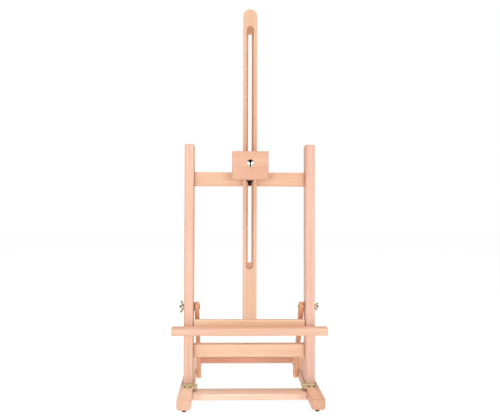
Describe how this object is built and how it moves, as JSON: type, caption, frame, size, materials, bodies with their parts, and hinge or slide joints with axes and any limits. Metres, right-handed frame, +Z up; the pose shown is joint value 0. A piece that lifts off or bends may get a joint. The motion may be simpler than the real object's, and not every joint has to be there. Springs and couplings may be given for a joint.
{
  "type": "table-top easel",
  "caption": "Table-top H-frame easel: hinged beech frame on a four-sided base, slotted struts, and a sliding mast with tray and canvas holder.",
  "frame": {"origin": "middle of the base's footprint, on the table top that the rubber feet stand on", "axes": "+Z up, +X to the right of a painter who faces the easel, +Y to the back; the front with the tray faces -Y"},
  "size_m": [0.33, 0.32, 0.8378],
  "materials": {
    "beech": "fine straight-grained beech, sanded and clear sealed, satin",
    "beech_dowel": "unfinished beech dowel",
    "brass": "pressed brass, lightly tarnished",
    "zinc_steel": "zinc-plated steel, dull",
    "chrome": "polished chrome plating",
    "wing_bronze": "cast wing nut with an aged bronze plating",
    "rubber": "dark moulded rubber, matt"
  },
  "bodies": {
    "base": {"runner_left": "beech", "runner_right": "beech", "base_front_rail": "beech", "base_rear_rail": "beech", "base_dowels": "beech_dowel", "rubber_feet": "rubber", "foot_screws": "zinc_steel", "hinge_leaf_base_left": "brass", "hinge_leaf_base_right": "brass", "hinge_pins": "brass", "hinge_screws_base": "zinc_steel", "strut_pivot_screws": "zinc_steel"},
    "h_frame": {"post_left": "beech", "post_right": "beech", "upper_crossbar": "beech", "lower_stretcher": "beech", "frame_dowels": "beech_dowel", "hinge_leaf_post_left": "brass", "hinge_leaf_post_right": "brass", "hinge_screws_post": "zinc_steel", "strut_bolt_left": "zinc_steel", "strut_bolt_right": "zinc_steel", "strut_outer_washers": "zinc_steel", "strut_spacer_washers": "zinc_steel", "mast_bolt": "zinc_steel", "mast_washer": "zinc_steel"},
    "strut_left": {"strut_left": "beech"},
    "strut_right": {"strut_right": "beech"},
    "mast_slider": {"mast": "beech", "tray_bar": "beech", "tray_ledge": "beech", "tray_screws": "zinc_steel", "mast_foot_screws": "zinc_steel"},
    "canvas_holder": {"holder_block": "beech", "holder_bolt": "chrome", "holder_washer": "zinc_steel"},
    "strut_nut_left": {"strut_wing_nut_left": "wing_bronze"},
    "strut_nut_right": {"strut_wing_nut_right": "wing_bronze"},
    "mast_nut": {"mast_wing_nut": "wing_bronze"},
    "holder_nut": {"holder_wing_nut": "wing_bronze"}
  },
  "joints": [
    {"name": "frame_tilt", "type": "hinge", "parent": "base", "child": "h_frame", "pos_m": [0, -0.08535, 0.03035], "axis": [-1, 0, 0], "range_deg": [0, 12]},
    {"name": "strut_left_pivot", "type": "hinge", "parent": "base", "child": "strut_left", "pos_m": [-0.114, 0.025, 0.019], "axis": [-1, 0, 0], "range_deg": [0, 8.7]},
    {"name": "strut_right_pivot", "type": "hinge", "parent": "base", "child": "strut_right", "pos_m": [0.114, 0.025, 0.019], "axis": [-1, 0, 0], "range_deg": [0, 8.7]},
    {"name": "mast_slide", "type": "slide", "parent": "h_frame", "child": "mast_slider", "axis": [0, 0.0175, 0.9998], "range_m": [0, 0.17]},
    {"name": "holder_slide", "type": "slide", "parent": "mast_slider", "child": "canvas_holder", "axis": [0, 0.0175, 0.9998], "range_m": [0, 0.28]},
    {"name": "strut_nut_left_turn", "type": "hinge", "parent": "h_frame", "child": "strut_nut_left", "pos_m": [-0.146, -0.05819, 0.19098], "axis": [-1, 0, 0], "continuous": true},
    {"name": "strut_nut_right_turn", "type": "hinge", "parent": "h_frame", "child": "strut_nut_right", "pos_m": [0.146, -0.05819, 0.19098], "axis": [1, 0, 0], "continuous": true},
    {"name": "mast_nut_turn", "type": "hinge", "parent": "h_frame", "child": "mast_nut", "pos_m": [0, -0.04271, 0.46782], "axis": [0, 0.9998, -0.0175], "continuous": true},
    {"name": "holder_nut_turn", "type": "hinge", "parent": "canvas_holder", "child": "holder_nut", "pos_m": [0, -0.05516, 0.49955], "axis": [0, 0.9998, -0.0175], "continuous": true}
  ],
  "couplings": [
    {"joint": "strut_left_pivot", "follows": "frame_tilt", "ratio": 0.7182},
    {"joint": "strut_right_pivot", "follows": "frame_tilt", "ratio": 0.7182}
  ]
}
